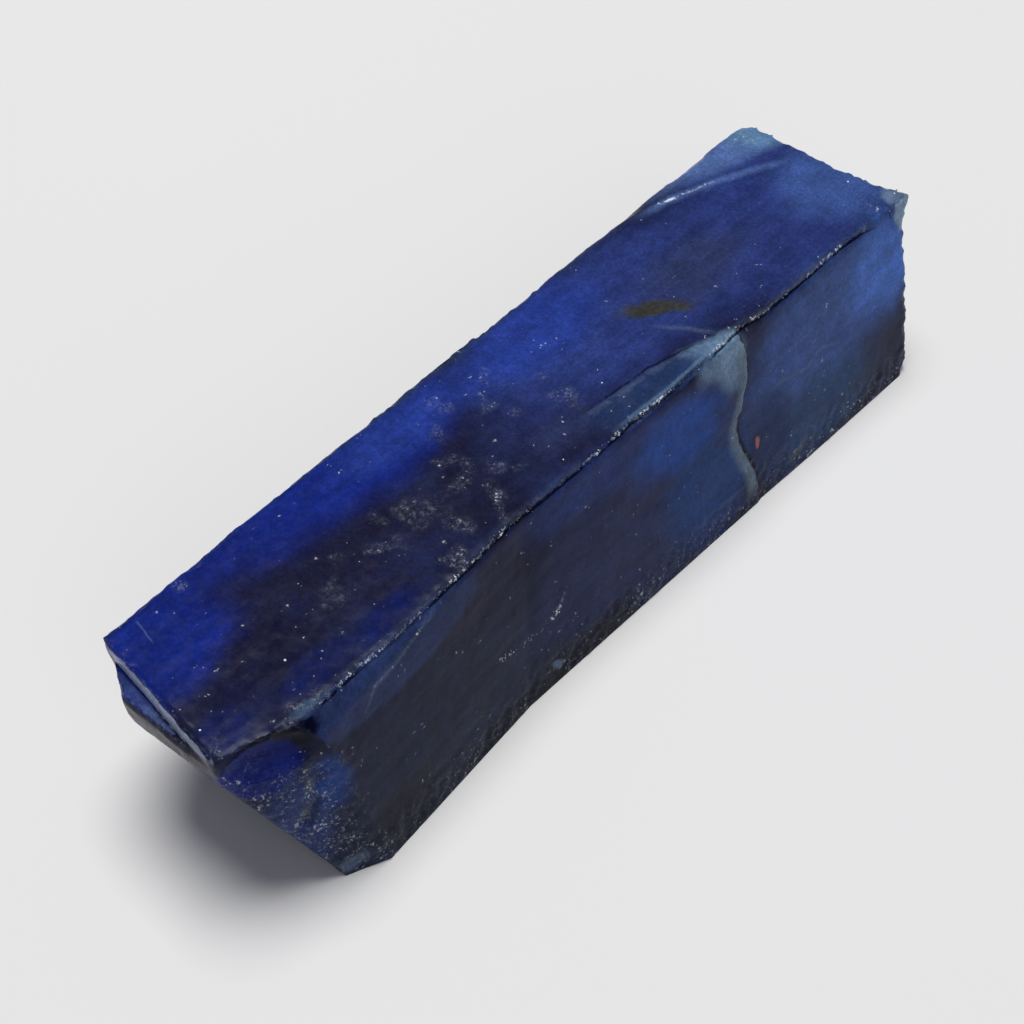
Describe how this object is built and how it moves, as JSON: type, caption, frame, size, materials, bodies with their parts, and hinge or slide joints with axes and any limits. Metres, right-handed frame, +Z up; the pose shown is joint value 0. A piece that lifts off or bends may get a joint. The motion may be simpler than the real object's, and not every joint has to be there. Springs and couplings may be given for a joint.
{
  "type": "rough tanzanite",
  "caption": "Bar-shaped rough gemstone with flat cleavage faces, an overhanging broken end and chipped edges, lying on its flat base.",
  "frame": {"origin": "middle of the bounding box, on the base that the stone lies on", "axes": "+X along the bar from the overhanging end to the square end, +Y to the hidden long side, +Z up"},
  "size_m": [0.0642, 0.0176, 0.0145],
  "materials": {
    "tanzanite": "cloudy deep blue stone, satin where it is frosted and bright at thin edges"
  },
  "bodies": {
    "root": {"rough_tanzanite": "tanzanite"}
  },
  "joints": []
}
